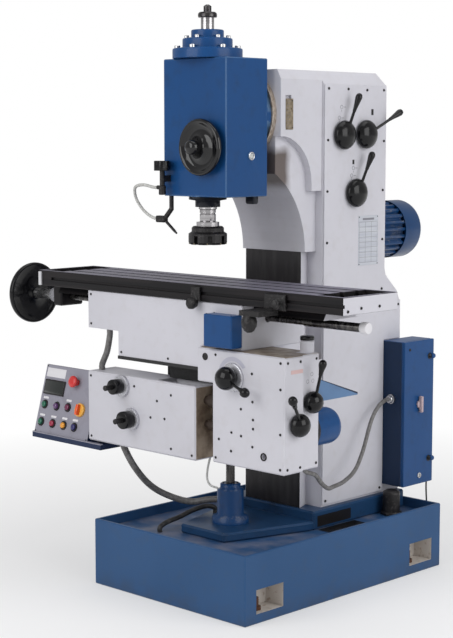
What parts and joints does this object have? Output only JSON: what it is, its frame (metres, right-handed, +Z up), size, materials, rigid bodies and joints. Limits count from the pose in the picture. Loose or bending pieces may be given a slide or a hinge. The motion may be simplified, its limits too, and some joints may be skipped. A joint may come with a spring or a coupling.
{
  "type": "vertical milling machine",
  "caption": "Vertical knee-type milling machine with swivelling head, T-slot table, feed boxes, control panel, drip tray base, side cabinet and coolant line.",
  "frame": {"origin": "on the floor, on the centre plane, under the column's front face", "axes": "+X along the table to the operator's right, +Y from the operator to the back, +Z up"},
  "size_m": [1.902, 1.4535, 2.276],
  "materials": {
    "blue_enamel": "gloss blue machine enamel",
    "base_enamel": "semi-gloss blue machine enamel",
    "white_enamel": "semi-gloss off-white machine enamel",
    "dark_iron": "dark ground cast iron",
    "bright_steel": "bright ground steel",
    "ring_metal": "machined ring",
    "black_plastic": "gloss black moulding",
    "black_metal": "blackened steel",
    "grey_conduit": "grey sheathed conduit",
    "light_hose": "light jointed coolant hose",
    "black_hose": "black rubber",
    "panel_grey": "grey panel face",
    "guard_blue": "pale blue sheet",
    "red_cap": "red moulding",
    "orange_cap": "orange moulding",
    "green_cap": "green moulding",
    "yellow_cap": "yellow moulding",
    "navy_cap": "dark blue moulding",
    "maroon_cap": "dark red moulding"
  },
  "bodies": {
    "machine": {"base_tray": "base_enamel", "plinth": "blue_enamel", "screw_sleeve": "blue_enamel", "column": "white_enamel", "column_ways": "dark_iron", "upper_cover": "white_enamel", "lower_cover": "white_enamel", "main_motor": "blue_enamel", "fan_cowl": "blue_enamel", "cabinet": "blue_enamel", "coolant_pump": "black_metal", "conduit_cabinet": "grey_conduit", "pump_cable": "black_hose", "floor_hose": "black_hose", "swivel_ring": "ring_metal"},
    "door": {"cabinet_door": "blue_enamel"},
    "isolator": {"isolator_switch": "black_plastic"},
    "head": {"head_body": "blue_enamel", "head_cap": "blue_enamel", "coolant_valve": "black_metal", "coolant_hose": "light_hose", "coolant_nozzle": "black_metal"},
    "valve_knob": {"valve_knob": "black_plastic"},
    "quill": {"quill": "bright_steel"},
    "spindle": {"spindle": "bright_steel", "face_mill": "black_metal"},
    "quill_wheel": {"quill_wheel": "black_plastic"},
    "speed_lever_front": {"speed_lever_front": "black_plastic"},
    "speed_lever_rear": {"speed_lever_rear": "black_plastic"},
    "speed_lever_low": {"speed_lever_low": "black_plastic"},
    "knee": {"knee": "white_enamel", "left_box": "white_enamel", "right_box": "white_enamel", "elevating_screw": "dark_iron", "feed_motor": "blue_enamel", "feed_guard": "guard_blue", "control_panel": "panel_grey", "conduit_left": "grey_conduit", "conduit_knee": "grey_conduit"},
    "feed_selector": {"feed_selector": "black_plastic"},
    "knee_lever_upper": {"knee_lever_upper": "black_plastic"},
    "knee_lever_lower": {"knee_lever_lower": "black_plastic"},
    "crank_upper": {"crank_upper": "black_plastic"},
    "crank_lower": {"crank_lower": "black_plastic"},
    "emergency_stop": {"emergency_stop": "red_cap"},
    "rotary_switch": {"rotary_switch": "orange_cap"},
    "button_1": {"button_1": "green_cap"},
    "button_2": {"button_2": "maroon_cap"},
    "button_3": {"button_3": "green_cap"},
    "button_4": {"button_4": "red_cap"},
    "button_5": {"button_5": "yellow_cap"},
    "button_6": {"button_6": "navy_cap"},
    "saddle": {"saddle": "white_enamel", "limit_box": "blue_enamel", "saddle_hose": "grey_conduit"},
    "table": {"table": "dark_iron"},
    "table_wheel": {"table_wheel": "black_plastic", "lead_screw": "dark_iron"},
    "trip_dog_left": {"trip_dog_left": "black_plastic"},
    "trip_dog_right": {"trip_dog_right": "black_plastic"}
  },
  "joints": [
    {"name": "door_hinge", "type": "hinge", "parent": "machine", "child": "door", "pos_m": [0.3207, 0.387, 0.639], "axis": [0, 0, 1], "range_deg": [-110, 0]},
    {"name": "isolator_turn", "type": "hinge", "parent": "door", "child": "isolator", "pos_m": [0.321, 0.487, 0.676], "axis": [1, 0, 0], "range_deg": [-90, 0]},
    {"name": "head_swivel", "type": "hinge", "parent": "machine", "child": "head", "pos_m": [0, -0.24, 1.868], "axis": [0, 1, 0], "range_deg": [-45, 45]},
    {"name": "quill_feed", "type": "slide", "parent": "head", "child": "quill", "axis": [0, 0, -1], "range_m": [-0.02, 0.065]},
    {"name": "spindle_turn", "type": "hinge", "parent": "quill", "child": "spindle", "pos_m": [0, -0.435, 1.505], "axis": [0, 0, 1], "continuous": true},
    {"name": "quill_wheel_turn", "type": "hinge", "parent": "head", "child": "quill_wheel", "pos_m": [0.062, -0.5193, 1.742], "axis": [0, -1, 0], "range_deg": [-601, 1951]},
    {"name": "valve_turn", "type": "hinge", "parent": "head", "child": "valve_knob", "pos_m": [-0.1365, -0.5445, 1.56], "axis": [0, 0, 1], "range_deg": [0, 90]},
    {"name": "speed_lever_front_turn", "type": "hinge", "parent": "machine", "child": "speed_lever_front", "pos_m": [0.2113, 0.108, 1.788], "axis": [1, 0, 0], "range_deg": [-25, 25]},
    {"name": "speed_lever_rear_turn", "type": "hinge", "parent": "machine", "child": "speed_lever_rear", "pos_m": [0.2113, 0.244, 1.791], "axis": [1, 0, 0], "range_deg": [-25, 25]},
    {"name": "speed_lever_low_turn", "type": "hinge", "parent": "machine", "child": "speed_lever_low", "pos_m": [0.2113, 0.184, 1.558], "axis": [1, 0, 0], "range_deg": [-25, 25]},
    {"name": "knee_lift", "type": "slide", "parent": "machine", "child": "knee", "axis": [0, 0, 1], "range_m": [-0.12, 0.13], "deforming": ["conduit_left", "conduit_knee"]},
    {"name": "feed_selector_turn", "type": "hinge", "parent": "knee", "child": "feed_selector", "pos_m": [0.294, -0.6003, 0.905], "axis": [0, -1, 0], "range_deg": [-45, 45]},
    {"name": "knee_lever_upper_turn", "type": "hinge", "parent": "knee", "child": "knee_lever_upper", "pos_m": [0.5353, -0.448, 0.824], "axis": [1, 0, 0], "range_deg": [-25, 25]},
    {"name": "knee_lever_lower_turn", "type": "hinge", "parent": "knee", "child": "knee_lever_lower", "pos_m": [0.5493, -0.535, 0.752], "axis": [1, 0, 0], "range_deg": [-25, 25]},
    {"name": "crank_upper_turn", "type": "hinge", "parent": "knee", "child": "crank_upper", "pos_m": [-0.314, -0.6003, 0.806], "axis": [0, -1, 0], "range_deg": [-6001, 7801]},
    {"name": "crank_lower_turn", "type": "hinge", "parent": "knee", "child": "crank_lower", "pos_m": [-0.257, -0.6003, 0.681], "axis": [0, -1, 0], "range_deg": [-7201, 7801]},
    {"name": "stop_push", "type": "slide", "parent": "knee", "child": "emergency_stop", "axis": [0, 0.9641, -0.2656], "range_m": [0, 0.004], "stiffness_N_per_m": 600, "springref_m": -0.001},
    {"name": "rotary_turn", "type": "hinge", "parent": "knee", "child": "rotary_switch", "pos_m": [-0.61, -0.56442, 0.66719], "axis": [0, -0.9641, 0.2656], "range_deg": [0, 90]},
    {"name": "button_1_push", "type": "slide", "parent": "knee", "child": "button_1", "axis": [0, 0.9641, -0.2656], "range_m": [0, 0.004], "stiffness_N_per_m": 300, "springref_m": -0.001},
    {"name": "button_2_push", "type": "slide", "parent": "knee", "child": "button_2", "axis": [0, 0.9641, -0.2656], "range_m": [0, 0.004], "stiffness_N_per_m": 300, "springref_m": -0.001},
    {"name": "button_3_push", "type": "slide", "parent": "knee", "child": "button_3", "axis": [0, 0.9641, -0.2656], "range_m": [0, 0.004], "stiffness_N_per_m": 300, "springref_m": -0.001},
    {"name": "button_4_push", "type": "slide", "parent": "knee", "child": "button_4", "axis": [0, 0.9641, -0.2656], "range_m": [0, 0.004], "stiffness_N_per_m": 300, "springref_m": -0.001},
    {"name": "button_5_push", "type": "slide", "parent": "knee", "child": "button_5", "axis": [0, 0.9641, -0.2656], "range_m": [0, 0.004], "stiffness_N_per_m": 300, "springref_m": -0.001},
    {"name": "button_6_push", "type": "slide", "parent": "knee", "child": "button_6", "axis": [0, 0.9641, -0.2656], "range_m": [0, 0.004], "stiffness_N_per_m": 300, "springref_m": -0.001},
    {"name": "cross_slide", "type": "slide", "parent": "knee", "child": "saddle", "axis": [0, 1, 0], "range_m": [-0.1, 0.13]},
    {"name": "table_slide", "type": "slide", "parent": "saddle", "child": "table", "axis": [1, 0, 0], "range_m": [-0.3, 0.255]},
    {"name": "table_wheel_turn", "type": "hinge", "parent": "table", "child": "table_wheel", "pos_m": [-1.07, -0.428, 1.112], "axis": [1, 0, 0], "range_deg": [-18001, 15301]},
    {"name": "dog_left_slide", "type": "slide", "parent": "table", "child": "trip_dog_left", "axis": [1, 0, 0], "range_m": [-0.7, 0.25]},
    {"name": "dog_right_slide", "type": "slide", "parent": "table", "child": "trip_dog_right", "axis": [1, 0, 0], "range_m": [-0.25, 0.24]}
  ],
  "couplings": [
    {"joint": "table_wheel_turn", "follows": "table_slide", "rad_per_m": 1047.2},
    {"joint": "crank_upper_turn", "follows": "cross_slide", "rad_per_m": 1047.2},
    {"joint": "crank_lower_turn", "follows": "knee_lift", "rad_per_m": 1047.2},
    {"joint": "quill_wheel_turn", "follows": "quill_feed", "rad_per_m": 523.6}
  ]
}
